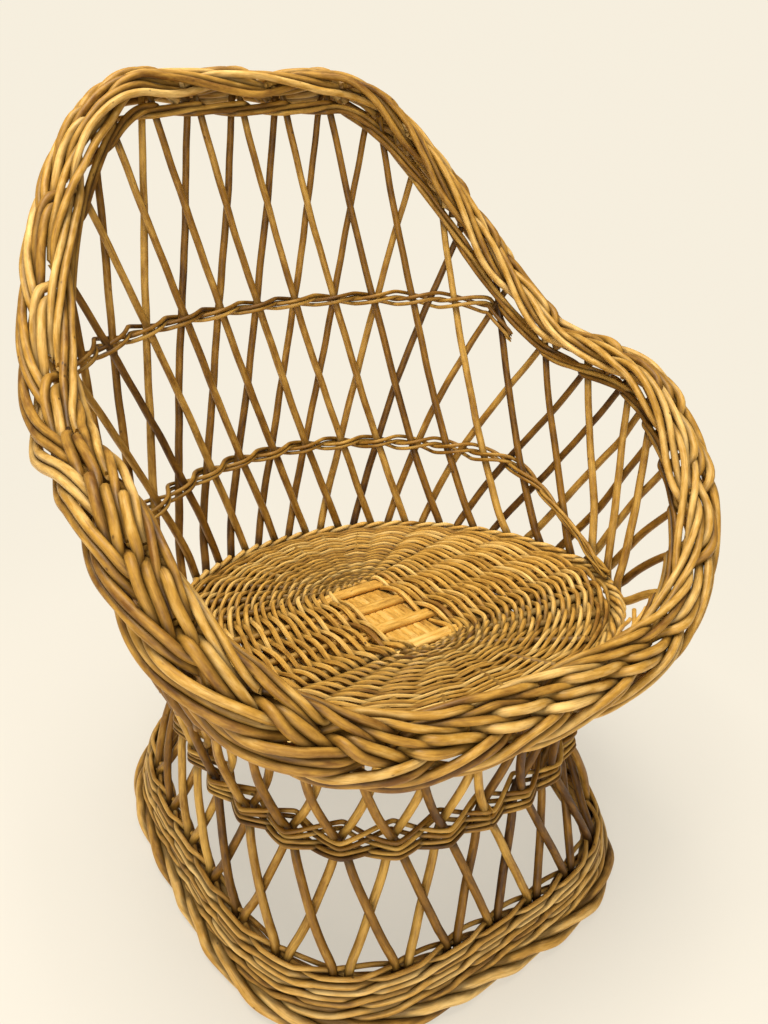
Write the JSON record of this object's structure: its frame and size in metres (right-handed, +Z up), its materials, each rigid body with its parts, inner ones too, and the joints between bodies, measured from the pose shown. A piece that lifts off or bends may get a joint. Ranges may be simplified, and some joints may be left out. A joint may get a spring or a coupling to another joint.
{
  "type": "child's wicker chair",
  "caption": "Child-size wicker tub chair: plaited rim, open back and arms of crossed stakes bound by twined rows, woven oval seat and flared lattice base on a woven foot band.",
  "frame": {"origin": "middle of the chair's plan, on the floor", "axes": "+Z up, the front faces -Y, +X to the right of someone who looks at the front of the chair"},
  "size_m": [0.4285, 0.422, 0.5432],
  "materials": {
    "plait_willow": "peeled willow, honey varnish, satin",
    "stake_willow": "peeled willow, brown honey varnish, satin",
    "seat_willow": "peeled willow, light honey varnish, satin",
    "foot_willow": "peeled willow, darkened varnish, satin"
  },
  "bodies": {
    "root": {"upper_stake_pair_01": "stake_willow", "upper_stake_pair_02": "stake_willow", "upper_stake_pair_03": "stake_willow", "upper_stake_pair_04": "stake_willow", "upper_stake_pair_05": "stake_willow", "upper_stake_pair_06": "stake_willow", "upper_stake_pair_07": "stake_willow", "upper_stake_pair_08": "stake_willow", "upper_stake_pair_09": "stake_willow", "upper_stake_pair_10": "stake_willow", "upper_stake_pair_11": "stake_willow", "upper_stake_pair_12": "stake_willow", "upper_stake_pair_13": "stake_willow", "upper_stake_pair_14": "stake_willow", "upper_stake_pair_15": "stake_willow", "upper_stake_pair_16": "stake_willow", "upper_stake_pair_17": "stake_willow", "upper_stake_pair_18": "stake_willow", "upper_stake_pair_19": "stake_willow", "upper_stake_pair_20": "stake_willow", "upper_stake_pair_21": "stake_willow", "upper_stake_pair_22": "stake_willow", "upper_stake_pair_23": "stake_willow", "upper_stake_pair_24": "stake_willow", "upper_stake_pair_25": "stake_willow", "base_stake_run_1": "stake_willow", "base_stake_run_2": "stake_willow", "base_stake_run_3": "stake_willow", "base_stake_run_4": "stake_willow", "base_stake_run_5": "stake_willow", "base_stake_run_6": "stake_willow", "border_strand_1": "plait_willow", "border_strand_2": "plait_willow", "border_strand_3": "plait_willow", "collar_strand_inner": "stake_willow", "collar_strand_outer": "stake_willow", "upper_fitch_inner": "stake_willow", "upper_fitch_outer": "stake_willow", "lower_fitch_inner": "stake_willow", "lower_fitch_outer": "stake_willow", "seat_hoop": "seat_willow", "seat_long_stick_1": "seat_willow", "seat_long_stick_2": "seat_willow", "seat_long_stick_3": "seat_willow", "seat_long_stick_4": "seat_willow", "seat_cross_stick_1": "seat_willow", "seat_cross_stick_2": "seat_willow", "seat_cross_stick_3": "seat_willow", "seat_cross_stick_4": "seat_willow", "seat_weave_top": "seat_willow", "seat_weave_under": "seat_willow", "waist_wale_inner": "stake_willow", "waist_wale_outer": "stake_willow", "foot_row_outer_1": "foot_willow", "foot_row_outer_2": "foot_willow", "foot_row_outer_3": "foot_willow", "foot_row_outer_4": "foot_willow", "foot_row_inner": "foot_willow", "foot_border_inner": "foot_willow", "foot_border_outer": "foot_willow"}
  },
  "joints": []
}
